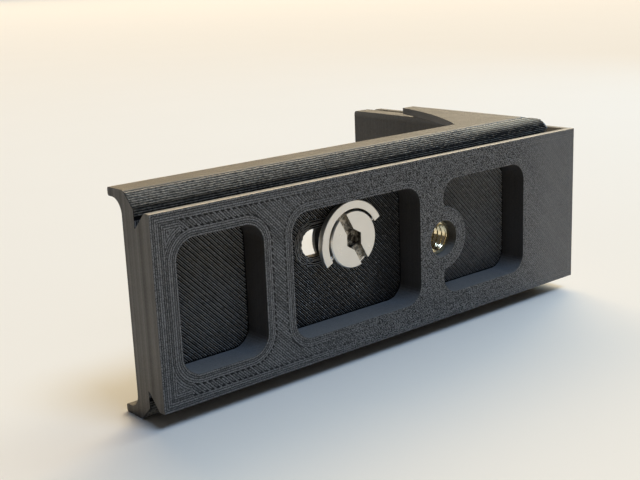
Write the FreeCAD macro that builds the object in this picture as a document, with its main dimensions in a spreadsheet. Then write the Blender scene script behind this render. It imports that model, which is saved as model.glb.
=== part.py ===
"""Printed L-bracket for a camera, with its captive screw, folding ring, washer and brass insert.

Units are millimetres. Each body is drawn in its own construction axes and placed by its Placement:
X runs along the base towards the leg, Y runs from the base's outer face to the camera, Z is up.
The bracket lies on the edges of its two lower lips, as it comes to rest on a table.
"""
import FreeCAD, Part
import math
import os
import Sketcher
from types import SimpleNamespace

Vector = FreeCAD.Vector

# Driving sizes, in millimetres and degrees
SIZES = {
    # Base and leg
    "base_length": 123.0,
    "leg_length": 70.8,
    "plate_thickness": 9.4,
    # Clamping dovetail along both edges
    "dovetail_width": 38.0,
    "dovetail_edge": 1.7,
    "dovetail_depth": 3.25,
    "groove_floor": 0.25,
    # Lips that guide the camera
    "groove_wall_rise": 0.2,
    "lip_flare": 3.2,
    "lip_height": 4.6,
    "lip_thickness": 1.7,
    "lip_root_radius": 3.1,
    "lip_shoulder_radius": 1.0,
    "lip_tip_radius": 0.5,
    # Corner gussets between the lips
    "gusset_reach": 14.5,
    "gusset_radius": 90.0,
    "gusset_overlap": 2.0,
    # Bulkier lips of the leg, bevelled towards its outer face
    "leg_lip_setback": 3.7,
    "leg_lip_side": 1.75,
    "leg_bevel_width": 6.4,
    "leg_lip_edge_radius": 1.2,
    # Bare end of the leg, past its lips
    "leg_lip_end": 46.0,
    "leg_end_rise": 0.4,
    "leg_end_radius": 1.6,
    # Pockets in the outer face of the base
    "end_wall": 5.0,
    "end_pocket_length": 20.0,
    "end_rib": 7.1,
    "screw_pocket_length": 36.0,
    "insert_rib": 7.4,
    "insert_pocket_length": 28.0,
    "pocket_height": 26.6,
    "pocket_depth": 6.5,
    "pocket_radius": 4.2,
    # Boss and brass insert
    "boss_radius": 7.2,
    "boss_root_radius": 1.5,
    "insert_radius": 4.1,
    "insert_gap": 0.03,
    "insert_recess": 2.0,
    "insert_length": 6.4,
    "insert_bore_radius": 2.6,
    "insert_mouth_chamfer": 0.5,
    "insert_groove_width": 1.2,
    "insert_groove_depth": 0.5,
    # Slot for the camera screw
    "slot_inset": 7.4,
    "slot_travel": 8.8,
    "slot_height": 4.35,
    "slot_side_gap": 0.4,
    # Camera screw
    "screw_turn": 29.0,
    "screw_play": 0.35,
    "screw_sag": 0.35,
    "head_radius": 6.3,
    "head_thickness": 2.95,
    "head_chamfer": 0.25,
    "neck_radius": 2.6,
    "neck_length": 3.25,
    "thread_radius": 3.175,
    "thread_length": 3.9,
    "thread_chamfer": 0.6,
    "coin_slot_width": 2.2,
    "coin_slot_depth": 1.3,
    "hex_across_flats": 4.0,
    "hex_depth": 2.2,
    # Folding ring
    "ring_gap": 0.25,
    "ring_drop": 0.45,
    "ring_width": 1.85,
    "ring_thickness": 1.3,
    "ring_pivot_depth": 1.05,
    "ring_end_overhang": 0.7,
    "ring_edge_radius": 0.25,
    "pivot_radius": 0.55,
    "pivot_length": 1.2,
    "pivot_gap": 0.05,
    # Retaining washer and its recess in the camera seat
    "washer_radius": 6.6,
    "washer_thickness": 0.8,
    "washer_bore_gap": 0.05,
    "washer_seat_gap": 0.05,
    "washer_side_gap": 0.4,
    "washer_cover": 0.15,
}


class Size:
    """A cell of the sheet, or a sum made of cells, held as a number and as the text that binds it."""

    def __init__(self, number, text):
        self.number = number
        self.text = text

    def joined(self, other, sign, number):
        return Size(number, f"({self.text} {sign} {as_size(other).text})")

    def __add__(self, other):
        return self.joined(other, "+", self.number + as_size(other).number)

    def __sub__(self, other):
        return self.joined(other, "-", self.number - as_size(other).number)

    def __mul__(self, other):
        return self.joined(other, "*", self.number * as_size(other).number)

    def __truediv__(self, other):
        return self.joined(other, "/", self.number / as_size(other).number)

    def __neg__(self):
        return as_size(0) - self


def as_size(value):
    """Wrap a plain number, so that it can stand beside a cell."""
    if isinstance(value, Size):
        return value
    return Size(value, f"({value:.12g})")


doc = FreeCAD.newDocument("CameraBracket")
sheet = doc.addObject("Spreadsheet::Sheet", "Sizes")
for row, (name, number) in enumerate(SIZES.items(), start=1):
    sheet.set(f"A{row}", name.replace("_", " "))
    sheet.set(f"B{row}", str(number))
    sheet.setAlias(f"B{row}", name)
doc.recompute()
size = SimpleNamespace(**{name: Size(sheet.get(name), f"Sizes.{name}") for name in SIZES})
ORIGIN = as_size(0)

# Point numbers and other fixed codes of a sketch
START = 1
END = 2
CENTRE = 3
SKETCH_AXIS = -1

FULL_TURN = 360
HEX_SIDES = 6
EDGE_TOLERANCE = 1e-3


# Helpers for sketches and features

def bind(item, path, value):
    """Bind one property of an object to the sheet."""
    item.setExpression(path, as_size(value).text)


def new_body(label):
    """Start a body whose label names its file."""
    body = doc.addObject("PartDesign::Body", label)
    body.Label = label
    return body


def place(body, x, y, z, turn=None):
    """Place a body, turned about the axis that runs from the outer face to the camera."""
    if turn is not None:
        body.Placement = FreeCAD.Placement(Vector(), FreeCAD.Rotation(Vector(0, 1, 0), turn.number))
        bind(body, "Placement.Rotation.Angle", turn)
    bind(body, "Placement.Base.x", x)
    bind(body, "Placement.Base.y", y)
    bind(body, "Placement.Base.z", z)


def origin_plane(body, role):
    """Find one of a body's own origin planes."""
    return next(item for item in body.Origin.OriginFeatures if item.Role == role)


def new_sketch(body, name, role, lift=None):
    """Start a sketch on an origin plane, lifted along the plane's normal."""
    sketch = body.newObject("Sketcher::SketchObject", name)
    sketch.AttachmentSupport = [(origin_plane(body, role), "")]
    sketch.MapMode = "FlatFace"
    if lift is not None:
        bind(sketch, "AttachmentOffset.Base.z", lift)
    return sketch


def constrain(sketch, value, kind, *picks):
    """Add a measured constraint and bind it to the sheet."""
    index = sketch.addConstraint(Sketcher.Constraint(kind, *picks, as_size(value).number))
    sketch.setExpression(f"Constraints[{index}]", as_size(value).text)


def fix_point(sketch, geometry, end, across, up):
    """Hold one point of a sketch at its distances from the origin."""
    constrain(sketch, across, "DistanceX", SKETCH_AXIS, START, geometry, end)
    constrain(sketch, up, "DistanceY", SKETCH_AXIS, START, geometry, end)


def circle(sketch, across, up, radius):
    """Draw a circle."""
    centre = Vector(as_size(across).number, as_size(up).number, 0)
    index = sketch.addGeometry(Part.Circle(centre, Vector(0, 0, 1), as_size(radius).number), False)
    fix_point(sketch, index, CENTRE, across, up)
    constrain(sketch, radius, "Radius", index)


def arc_between(centre, radius, start, end):
    """Make a left-turning arc from one point to another."""
    first = math.atan2(start.y - centre.y, start.x - centre.x)
    last = math.atan2(end.y - centre.y, end.x - centre.x)
    if last <= first:
        last += 2 * math.pi
    return Part.ArcOfCircle(Part.Circle(centre, Vector(0, 0, 1), radius), first, last)


def outline(sketch, corners):
    """Draw a closed outline through corners, each (across, up) or (across, up, rounding radius)."""
    spots = [Vector(as_size(corner[0]).number, as_size(corner[1]).number, 0) for corner in corners]
    entries = list(spots)
    exits = list(spots)
    arcs = {}
    for index, corner in enumerate(corners):
        if len(corner) == 2:
            continue
        spot = spots[index]
        back = (spots[index - 1] - spot).normalize()
        ahead = (spots[(index + 1) % len(spots)] - spot).normalize()
        half_angle = back.getAngle(ahead) / 2
        run = corner[2].number / math.tan(half_angle)
        entries[index] = spot + back * run
        exits[index] = spot + ahead * run
        centre = spot + (back + ahead).normalize() * (corner[2].number / math.sin(half_angle))
        turns_left = back.cross(ahead).z < 0
        ends = (entries[index], exits[index]) if turns_left else (exits[index], entries[index])
        arc = sketch.addGeometry(arc_between(centre, corner[2].number, *ends), False)
        arcs[index] = (arc, START, END) if turns_left else (arc, END, START)
    lines = []
    for index, start in enumerate(exits):
        end = entries[(index + 1) % len(spots)]
        lines.append(sketch.addGeometry(Part.LineSegment(start, end), False))
    for index, corner in enumerate(corners):
        before, after = lines[index - 1], lines[index]
        if index not in arcs:
            sketch.addConstraint(Sketcher.Constraint("Coincident", before, END, after, START))
            fix_point(sketch, after, START, corner[0], corner[1])
            continue
        arc, arc_entry, arc_exit = arcs[index]
        sketch.addConstraint(Sketcher.Constraint("Tangent", before, END, arc, arc_entry))
        sketch.addConstraint(Sketcher.Constraint("Tangent", arc, arc_exit, after, START))
        constrain(sketch, corner[2], "Radius", arc)
        point = sketch.addGeometry(Part.Point(spots[index]), True)
        fix_point(sketch, point, START, corner[0], corner[1])
        sketch.addConstraint(Sketcher.Constraint("PointOnObject", point, START, before))
        sketch.addConstraint(Sketcher.Constraint("PointOnObject", point, START, after))


def rectangle(sketch, left, right, low, high, radius=None):
    """Draw a rectangle, with rounded corners where a radius is given."""
    rounding = () if radius is None else (radius,)
    outline(sketch, [spot + rounding for spot in ((left, low), (right, low), (right, high), (left, high))])


def long_hole(sketch, left, right, height, radius):
    """Draw a straight slot with round ends about two centres."""
    start = Vector(left.number, height.number, 0)
    end = Vector(right.number, height.number, 0)
    rise = Vector(0, radius.number, 0)
    far = sketch.addGeometry(arc_between(end, radius.number, end - rise, end + rise), False)
    near = sketch.addGeometry(arc_between(start, radius.number, start + rise, start - rise), False)
    top = sketch.addGeometry(Part.LineSegment(end + rise, start + rise), False)
    low = sketch.addGeometry(Part.LineSegment(start - rise, end - rise), False)
    for first, second in ((far, top), (top, near), (near, low), (low, far)):
        sketch.addConstraint(Sketcher.Constraint("Tangent", first, END, second, START))
    fix_point(sketch, far, CENTRE, right, height)
    fix_point(sketch, near, CENTRE, left, height)
    constrain(sketch, radius, "Radius", far)


def pad(body, sketch, name, length, reverse=False, middle=False):
    """Raise a sketch into a solid."""
    feature = body.newObject("PartDesign::Pad", name)
    feature.Profile = sketch
    feature.Reversed = reverse
    feature.Midplane = middle
    bind(feature, "Length", length)
    doc.recompute()
    return feature


def pocket(body, sketch, name, depth=None, reverse=False, middle=False):
    """Cut a sketch out of a solid, to a depth or right through, and prove that it cut."""
    before = body.Shape.Volume
    feature = body.newObject("PartDesign::Pocket", name)
    feature.Profile = sketch
    feature.Reversed = reverse
    feature.Midplane = middle
    if depth is None:
        feature.Type = "ThroughAll"
    else:
        bind(feature, "Length", depth)
    doc.recompute()
    if not body.Shape.Volume < before:
        raise RuntimeError(f"{name} cuts nothing")
    return feature


def revolve(body, sketch, name):
    """Turn a sketch about its upright axis."""
    feature = body.newObject("PartDesign::Revolution", name)
    feature.Profile = sketch
    feature.ReferenceAxis = (sketch, ["V_Axis"])
    feature.Angle = FULL_TURN
    doc.recompute()
    return feature


def mirror(body, feature, name, role):
    """Repeat a feature on the other side of an origin plane."""
    mirrored = body.newObject("PartDesign::Mirrored", name)
    mirrored.Originals = [feature]
    mirrored.MirrorPlane = (origin_plane(body, role), [""])
    body.Tip = mirrored
    doc.recompute()
    return mirrored


def straight_edges(feature, axis, *places):
    """Name the straight edges along one axis that pass through given places, a None matching any value."""
    names = []
    for index, edge in enumerate(feature.Shape.Edges, start=1):
        ends = [vertex.Point for vertex in edge.Vertexes]
        if len(ends) != 2 or abs(abs((ends[1] - ends[0]).dot(axis)) - edge.Length) > EDGE_TOLERANCE:
            continue
        middle = (ends[0] + ends[1]) / 2
        for place_wanted in places:
            pairs = zip(middle, place_wanted)
            if all(wanted is None or abs(found - wanted.number) < EDGE_TOLERANCE for found, wanted in pairs):
                names.append(f"Edge{index}")
    return names


def fillet(body, feature, name, edges, radius):
    """Round named edges."""
    rounded = body.newObject("PartDesign::Fillet", name)
    rounded.Base = (feature, edges)
    bind(rounded, "Radius", radius)
    doc.recompute()
    return rounded


# Shared places, measured from the base's free end, its outer face and its middle line
half_dovetail = size.dovetail_width / 2
flare_start = half_dovetail + size.groove_wall_rise
leg_end_half = half_dovetail + size.leg_end_rise
half_width = flare_start + size.lip_flare
lip_reach = size.plate_thickness + size.lip_height
lip_inner = half_width - size.lip_thickness
groove_start = size.dovetail_edge + size.dovetail_depth
groove_wall = groove_start + size.groove_floor
half_pocket = size.pocket_height / 2
end_pocket_x = size.end_wall
screw_pocket_x = end_pocket_x + size.end_pocket_length + size.end_rib
insert_x = screw_pocket_x + size.screw_pocket_length + size.insert_rib
slot_radius = size.neck_radius + size.slot_side_gap
slot_start_x = screw_pocket_x + size.slot_inset + slot_radius
screw_x = slot_start_x + size.slot_travel
screw_height = size.slot_height - size.screw_sag
recess_depth = size.washer_seat_gap + size.washer_thickness + size.washer_cover
recess_floor = size.plate_thickness - recess_depth
head_front = size.pocket_depth - size.screw_play - size.head_thickness
origin_x = -(size.base_length / 2)
origin_y = -(size.leg_length / 2)
origin_z = half_width


def dovetail_section():
    """Give the corners of the section that base and leg share, as depth from the outer face and height."""
    groove_height = half_dovetail - size.dovetail_depth
    upper = [
        (ORIGIN, half_dovetail),
        (size.dovetail_edge, half_dovetail),
        (groove_start, groove_height),
        (groove_wall, groove_height),
        (groove_wall, flare_start),
        (groove_wall + size.lip_flare, half_width, size.lip_shoulder_radius),
        (lip_reach, half_width, size.lip_tip_radius),
        (lip_reach, lip_inner, size.lip_tip_radius),
        (size.plate_thickness, lip_inner, size.lip_root_radius),
    ]
    return upper + [(corner[0], -corner[1], *corner[2:]) for corner in reversed(upper)]


def sweep_section(body):
    """Run the shared section along the base and round the mitred corner up the leg."""
    section = new_sketch(body, "Section", "YZ_Plane")
    outline(section, dovetail_section())
    path = new_sketch(body, "OuterFacePath", "XY_Plane")
    corner = Vector(size.base_length.number, 0, 0)
    base = path.addGeometry(Part.LineSegment(Vector(), corner), False)
    leg = path.addGeometry(Part.LineSegment(corner, corner + Vector(0, size.leg_length.number, 0)), False)
    path.addConstraint(Sketcher.Constraint("Coincident", base, START, SKETCH_AXIS, START))
    path.addConstraint(Sketcher.Constraint("Horizontal", base))
    path.addConstraint(Sketcher.Constraint("Coincident", base, END, leg, START))
    path.addConstraint(Sketcher.Constraint("Vertical", leg))
    constrain(path, size.base_length, "DistanceX", base, START, base, END)
    constrain(path, size.leg_length, "DistanceY", leg, START, leg, END)
    sweep = body.newObject("PartDesign::AdditivePipe", "BaseAndLeg")
    sweep.Profile = section
    sweep.Spine = path
    sweep.Transition = "Right corner"
    doc.recompute()
    return sweep


def add_gussets(body):
    """Fill the inner corner of each lip with a flat web whose free edge is one large arc."""
    sketch = new_sketch(body, "GussetPlan", "XY_Plane", lip_inner)
    tip_x = size.base_length - lip_reach
    foot_x = tip_x - size.gusset_reach
    inside_x = tip_x + size.gusset_overlap
    inside_y = lip_reach - size.gusset_overlap
    corners = [
        (foot_x, lip_reach),
        (foot_x, inside_y),
        (inside_x, inside_y),
        (inside_x, size.leg_lip_end),
        (tip_x, size.leg_lip_end),
    ]
    spots = [Vector(across.number, up.number, 0) for across, up in corners]
    lines = [sketch.addGeometry(Part.LineSegment(*ends), False) for ends in zip(spots, spots[1:])]
    chord = spots[-1] - spots[0]
    radius = size.gusset_radius.number
    sagitta_arm = math.sqrt(radius ** 2 - (chord.Length / 2) ** 2)
    normal = Vector(-chord.y, chord.x, 0).normalize()
    centre = (spots[0] + spots[-1]) / 2 + normal * sagitta_arm
    arc = sketch.addGeometry(arc_between(centre, radius, spots[0], spots[-1]), False)
    for line, following in zip(lines, lines[1:]):
        sketch.addConstraint(Sketcher.Constraint("Coincident", line, END, following, START))
    sketch.addConstraint(Sketcher.Constraint("Coincident", arc, START, lines[0], START))
    sketch.addConstraint(Sketcher.Constraint("Coincident", arc, END, lines[-1], END))
    for line, (across, up) in zip(lines, corners):
        fix_point(sketch, line, START, across, up)
    fix_point(sketch, lines[-1], END, *corners[-1])
    constrain(sketch, size.gusset_radius, "Radius", arc)
    upper = pad(body, sketch, "UpperGusset", size.lip_thickness)
    return mirror(body, upper, "LowerGusset", "XY_Plane")


def shape_leg_lips(body):
    """Fill out the leg's lips to an upright side, carry the base's flare across and bevel them."""
    side_x = size.base_length - size.leg_lip_setback
    crest_x = side_x - size.leg_bevel_width
    side_top = flare_start + size.leg_lip_side
    outside_x = size.base_length
    above = half_width + size.lip_flare
    fill = new_sketch(body, "LegLipFill", "XZ_Plane", -groove_wall)
    flare = new_sketch(body, "LegLipFlarePlan", "YZ_Plane", crest_x)
    bevel = new_sketch(body, "LegLipBevelPlan", "XZ_Plane")
    for side in (1, -1):
        outline(fill, [
            (size.base_length - size.plate_thickness, flare_start * side),
            (side_x, flare_start * side),
            (side_x, half_width * side),
            (crest_x, half_width * side),
        ])
        outline(flare, [
            (groove_wall, flare_start * side),
            (groove_wall + size.lip_flare, half_width * side),
            (groove_wall, half_width * side),
        ])
        outline(bevel, [
            (crest_x, half_width * side),
            (side_x, side_top * side, size.leg_lip_edge_radius),
            (side_x, flare_start * side),
            (outside_x, flare_start * side),
            (outside_x, above * side),
            (crest_x, above * side),
        ])
    pad(body, fill, "LegLips", size.leg_lip_end - groove_wall, reverse=True)
    pocket(body, flare, "LegLipFlare", reverse=True)
    return pocket(body, bevel, "LegLipBevel")


def trim_leg_end(body):
    """Take the lips off the end of the leg and round its four corners."""
    sketch = new_sketch(body, "LegEndTrim", "YZ_Plane")
    beyond = size.leg_length + size.lip_height
    outside = half_width + size.lip_height
    rectangle(sketch, size.leg_lip_end, beyond, leg_end_half, outside)
    rectangle(sketch, size.leg_lip_end, beyond, -outside, -leg_end_half)
    trimmed = pocket(body, sketch, "LegEnd", reverse=True)
    sides = (leg_end_half, -leg_end_half, half_dovetail, -half_dovetail)
    places = [(None, size.leg_length, side) for side in sides]
    edges = straight_edges(trimmed, Vector(1, 0, 0), *places)
    return fillet(body, trimmed, "LegEndCorners", edges, size.leg_end_radius)


def sink_pockets(body):
    """Sink the three pockets of the outer face and raise the insert's boss in the last one."""
    for name, start, length in (
        ("EndPocket", end_pocket_x, size.end_pocket_length),
        ("ScrewPocket", screw_pocket_x, size.screw_pocket_length),
        ("InsertPocket", insert_x, size.insert_pocket_length),
    ):
        sketch = new_sketch(body, f"{name}Plan", "XZ_Plane")
        rectangle(sketch, start, start + length, -half_pocket, half_pocket, size.pocket_radius)
        pocket(body, sketch, name, size.pocket_depth)
    sketch = new_sketch(body, "BossPlan", "XZ_Plane")
    circle(sketch, insert_x, ORIGIN, size.boss_radius)
    boss = pad(body, sketch, "Boss", size.pocket_depth, reverse=True)
    places = [(insert_x, None, size.boss_radius), (insert_x, None, -size.boss_radius)]
    edges = straight_edges(boss, Vector(0, 1, 0), *places)
    return fillet(body, boss, "BossRoots", edges, size.boss_root_radius)


def build_bracket():
    """Build the printed bracket."""
    body = new_body("bracket")
    sweep_section(body)
    add_gussets(body)
    shape_leg_lips(body)
    trim_leg_end(body)
    sink_pockets(body)
    hole = new_sketch(body, "InsertHolePlan", "XZ_Plane")
    circle(hole, insert_x, ORIGIN, size.insert_radius + size.insert_gap)
    pocket(body, hole, "InsertHole", size.insert_recess + size.insert_length)
    slot = new_sketch(body, "ScrewSlotPlan", "XZ_Plane")
    long_hole(slot, slot_start_x, screw_x, size.slot_height, slot_radius)
    pocket(body, slot, "ScrewSlot")
    recess = new_sketch(body, "WasherRecessPlan", "XZ_Plane", -recess_floor)
    long_hole(recess, slot_start_x, screw_x, screw_height, size.washer_radius + size.washer_side_gap)
    pocket(body, recess, "WasherRecess", recess_depth)
    place(body, origin_x, origin_y, origin_z)
    return body


def build_insert():
    """Build the brass insert, with its bore, chamfered mouths and the groove between its gripping bands."""
    body = new_body("tripod_insert")
    sketch = new_sketch(body, "InsertSection", "XY_Plane")
    bore = size.insert_bore_radius
    mouth = bore + size.insert_mouth_chamfer
    waist = size.insert_radius - size.insert_groove_depth
    groove_start = (size.insert_length - size.insert_groove_width) / 2
    groove_end = (size.insert_length + size.insert_groove_width) / 2
    outline(sketch, [
        (bore, size.insert_mouth_chamfer),
        (mouth, ORIGIN),
        (size.insert_radius, ORIGIN),
        (size.insert_radius, groove_start),
        (waist, groove_start),
        (waist, groove_end),
        (size.insert_radius, groove_end),
        (size.insert_radius, size.insert_length),
        (mouth, size.insert_length),
        (bore, size.insert_length - size.insert_mouth_chamfer),
    ])
    revolve(body, sketch, "InsertBarrel")
    place(body, origin_x + insert_x, origin_y + size.insert_recess, origin_z)
    return body


def build_screw():
    """Build the camera screw: disc head with coin slot, hex socket and pivot holes, neck and threaded end."""
    body = new_body("camera_screw")
    sketch = new_sketch(body, "ScrewSection", "XY_Plane")
    neck_end = size.head_thickness + size.neck_length
    thread_end = neck_end + size.thread_length
    outline(sketch, [
        (ORIGIN, ORIGIN),
        (size.head_radius - size.head_chamfer, ORIGIN),
        (size.head_radius, size.head_chamfer),
        (size.head_radius, size.head_thickness),
        (size.neck_radius, size.head_thickness),
        (size.neck_radius, neck_end),
        (size.thread_radius, neck_end),
        (size.thread_radius, thread_end - size.thread_chamfer),
        (size.thread_radius - size.thread_chamfer, thread_end),
        (ORIGIN, thread_end),
    ])
    revolve(body, sketch, "Turning")
    coin = new_sketch(body, "CoinSlotPlan", "XZ_Plane")
    reach = size.head_radius + size.ring_gap
    rectangle(coin, -(size.coin_slot_width / 2), size.coin_slot_width / 2, -reach, reach)
    pocket(body, coin, "CoinSlot", size.coin_slot_depth)
    socket = new_sketch(body, "HexSocketPlan", "XZ_Plane")
    hex_corner = size.hex_across_flats / (2 * math.cos(math.pi / HEX_SIDES))
    angles = [2 * math.pi * step / HEX_SIDES for step in range(HEX_SIDES)]
    outline(socket, [(hex_corner * math.cos(angle), hex_corner * math.sin(angle)) for angle in angles])
    pocket(body, socket, "HexSocket", size.hex_depth)
    pivot = new_sketch(body, "PivotHolePlan", "YZ_Plane", size.head_radius)
    circle(pivot, size.ring_pivot_depth, ORIGIN, size.pivot_radius + size.pivot_gap)
    hole = pocket(body, pivot, "PivotHole", size.pivot_length)
    mirror(body, hole, "OppositePivotHole", "YZ_Plane")
    place(body, origin_x + screw_x, origin_y + head_front, origin_z + screw_height, -size.screw_turn)
    return body


def build_ring():
    """Build the folding ring: a flat half ring with overhanging ends and an inward pivot at each end."""
    body = new_body("folding_ring")
    inner = size.head_radius + size.ring_gap + size.ring_drop
    outer = inner + size.ring_width
    sketch = new_sketch(body, "RingPlan", "XZ_Plane")
    circle(sketch, ORIGIN, -size.ring_drop, outer)
    circle(sketch, ORIGIN, -size.ring_drop, inner)
    pad(body, sketch, "FlatRing", size.ring_thickness, middle=True)
    cut = new_sketch(body, "OpenSidePlan", "XZ_Plane")
    beyond = outer + size.ring_drop + size.ring_gap
    rectangle(cut, -beyond, beyond, -beyond, -size.ring_end_overhang)
    half = pocket(body, cut, "OpenSide", middle=True)
    middle = inner + size.ring_width / 2
    rims = [f"Edge{index}" for index, edge in enumerate(half.Shape.Edges, start=1)
            if isinstance(edge.Curve, Part.Circle) and edge.Curve.Radius > middle.number]
    fillet(body, half, "RoundedRims", rims, size.ring_edge_radius)
    pivot_reach = size.head_radius - size.pivot_length + size.pivot_gap
    pin = new_sketch(body, "PivotPlan", "YZ_Plane", pivot_reach)
    circle(pin, ORIGIN, ORIGIN, size.pivot_radius)
    pivot = pad(body, pin, "Pivot", middle - pivot_reach)
    mirror(body, pivot, "OppositePivot", "YZ_Plane")
    pivot_y = origin_y + head_front + size.ring_pivot_depth
    place(body, origin_x + screw_x, pivot_y, origin_z + screw_height, -size.screw_turn)
    return body


def build_washer():
    """Build the washer that keeps the screw in the slot, on the camera side."""
    body = new_body("retaining_washer")
    sketch = new_sketch(body, "WasherPlan", "XZ_Plane")
    circle(sketch, ORIGIN, ORIGIN, size.washer_radius)
    circle(sketch, ORIGIN, ORIGIN, size.neck_radius + size.washer_bore_gap)
    pad(body, sketch, "Washer", size.washer_thickness, reverse=True)
    washer_y = origin_y + recess_floor + size.washer_seat_gap
    place(body, origin_x + screw_x, washer_y, origin_z + screw_height)
    return body


def write_parts(bodies):
    """Check every object, then write each body to its own file."""
    doc.recompute()
    for item in doc.Objects:
        if "Invalid" in item.State or "Error" in item.State:
            raise RuntimeError(f"{item.Name} failed: {item.State}")
    for body in bodies:
        if body.Shape.isNull() or not body.Shape.isValid() or len(body.Shape.Solids) != 1:
            raise RuntimeError(f"{body.Label} is not one valid solid")
    os.makedirs("parts", exist_ok=True)
    for body in bodies:
        body.Shape.exportStep(f"parts/{body.Label}.step")
        print(body.Label, round(body.Shape.Volume, 1), body.Shape.BoundBox)


write_parts([build_bracket(), build_insert(), build_screw(), build_ring(), build_washer()])
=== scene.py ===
"""Looks of a printed camera bracket: layered black plastic, satin steel screw and brass insert.

Units are metres in the frame that the solids share: X runs along the base towards the leg, Y runs from
the base's outer face to the camera and Z is up.
"""
import logging
import math
import random
from dataclasses import dataclass
from enum import Enum

import bmesh
import bpy
from mathutils import Matrix, Quaternion, Vector


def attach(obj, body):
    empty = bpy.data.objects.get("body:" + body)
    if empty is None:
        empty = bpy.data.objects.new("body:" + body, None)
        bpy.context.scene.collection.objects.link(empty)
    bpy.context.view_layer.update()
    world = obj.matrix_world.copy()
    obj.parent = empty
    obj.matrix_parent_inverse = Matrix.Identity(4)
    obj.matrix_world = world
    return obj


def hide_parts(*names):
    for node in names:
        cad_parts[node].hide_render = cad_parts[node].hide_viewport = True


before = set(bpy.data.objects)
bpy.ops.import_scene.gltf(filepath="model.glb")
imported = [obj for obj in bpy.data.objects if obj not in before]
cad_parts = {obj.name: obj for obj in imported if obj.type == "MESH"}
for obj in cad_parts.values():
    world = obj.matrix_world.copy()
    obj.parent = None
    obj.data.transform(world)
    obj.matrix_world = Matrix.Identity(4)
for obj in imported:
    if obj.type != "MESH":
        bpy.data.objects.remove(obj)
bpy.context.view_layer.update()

MM = 0.001
LOG = logging.getLogger("bracket")

# Sizes of the bracket that several pieces and finishes share
MIDDLE = 22.4 * MM
BASE_HALF = 61.5 * MM
DOVETAIL_HALF = 19.0 * MM
OUTER_FACE = -35.4 * MM
FLARE_START = 19.2 * MM
LAYER = 0.36 * MM
SCREW_AXIS = (-10.2 * MM, 26.4 * MM)

Socket = bpy.types.NodeSocket
Point = tuple[float, float, float]
Colour = tuple[float, float, float, float]


class Side(Enum):
    """The two long edges of the base."""

    UPPER = 1
    LOWER = -1


class Bench:
    """Shader nodes of one material, added and joined one by one."""

    def __init__(self, name: str) -> None:
        """Start an empty material.

        Args:
            name: Name of the material.
        """
        self.material = bpy.data.materials.new(name)
        self.material.use_nodes = True
        self.tree = self.material.node_tree
        self.tree.nodes.clear()

    def put(self, socket: Socket, value: object) -> None:
        """Feed a socket from another socket or with a constant.

        Args:
            socket: Input to feed.
            value: An output socket, or a constant for the input.
        """
        if isinstance(value, bpy.types.NodeSocket):
            self.tree.links.new(value, socket)
        else:
            socket.default_value = value

    def node(self, kind: str, settings: dict[str, object] | None = None, **inputs: object) -> bpy.types.Node:
        """Add a node.

        Args:
            kind: Type name of the node.
            settings: Properties of the node itself.
            inputs: Values or sockets for its inputs, by name with underscores for spaces.

        Returns:
            The new node.
        """
        node = self.tree.nodes.new(kind)
        for name, value in (settings or {}).items():
            setattr(node, name, value)
        for name, value in inputs.items():
            self.put(node.inputs[name.replace("_", " ")], value)
        return node

    def math(self, operation: str, *values: object) -> Socket:
        """Add a math node.

        Args:
            operation: Name of the operation.
            values: Numbers or sockets for its inputs, in order.

        Returns:
            The result.
        """
        node = self.node("ShaderNodeMath", {"operation": operation})
        for socket, value in zip(node.inputs, values):
            self.put(socket, value)
        return node.outputs[0]

    def blend(self, factor: object, first: object, second: object) -> Socket:
        """Mix two colours.

        Args:
            factor: Share of the second colour.
            first: Colour at factor 0.
            second: Colour at factor 1.

        Returns:
            The mixed colour.
        """
        node = self.node("ShaderNodeMix", {"data_type": "RGBA"})
        self.put(node.inputs[0], factor)
        self.put(node.inputs[6], first)
        self.put(node.inputs[7], second)
        return node.outputs[2]

    def mix(self, factor: object, first: object, second: object) -> Socket:
        """Mix two numbers.

        Args:
            factor: Share of the second number.
            first: Number at factor 0.
            second: Number at factor 1.

        Returns:
            The mixed number.
        """
        node = self.node("ShaderNodeMix", {"data_type": "FLOAT"})
        self.put(node.inputs[0], factor)
        self.put(node.inputs[2], first)
        self.put(node.inputs[3], second)
        return node.outputs[0]

    def step(self, value: object, low: float, high: float) -> Socket:
        """Rise smoothly from 0 at the low value to 1 at the high value.

        Args:
            value: Number to test.
            low: Value where the rise starts.
            high: Value where the rise ends.

        Returns:
            The share from 0 to 1.
        """
        node = self.node("ShaderNodeMapRange", {"interpolation_type": "SMOOTHSTEP"}, Value=value)
        self.put(node.inputs["From Min"], low)
        self.put(node.inputs["From Max"], high)
        return node.outputs[0]

    def noise(self, vector: Socket, scale: float, detail: float = 2.0) -> Socket:
        """Give soft noise from 0 to 1 at a scale per metre."""
        return self.node("ShaderNodeTexNoise", None, Vector=vector, Scale=scale, Detail=detail).outputs[0]

    def place(self) -> tuple[Socket, Socket, Socket, Socket]:
        """Give the point on the piece.

        Returns:
            The point as a vector, then its x, y and z.
        """
        point = self.node("ShaderNodeTexCoord").outputs["Object"]
        split = self.node("ShaderNodeSeparateXYZ", None, Vector=point)
        return point, split.outputs[0], split.outputs[1], split.outputs[2]

    def finish(self, **inputs: object) -> bpy.types.Material:
        """Close the material with one surface shader.

        Args:
            inputs: Inputs of the surface shader, by name with underscores for spaces.

        Returns:
            The finished material.
        """
        surface = self.node("ShaderNodeBsdfPrincipled", None, **inputs)
        output = self.node("ShaderNodeOutputMaterial")
        self.tree.links.new(surface.outputs[0], output.inputs[0])
        return self.material


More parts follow.
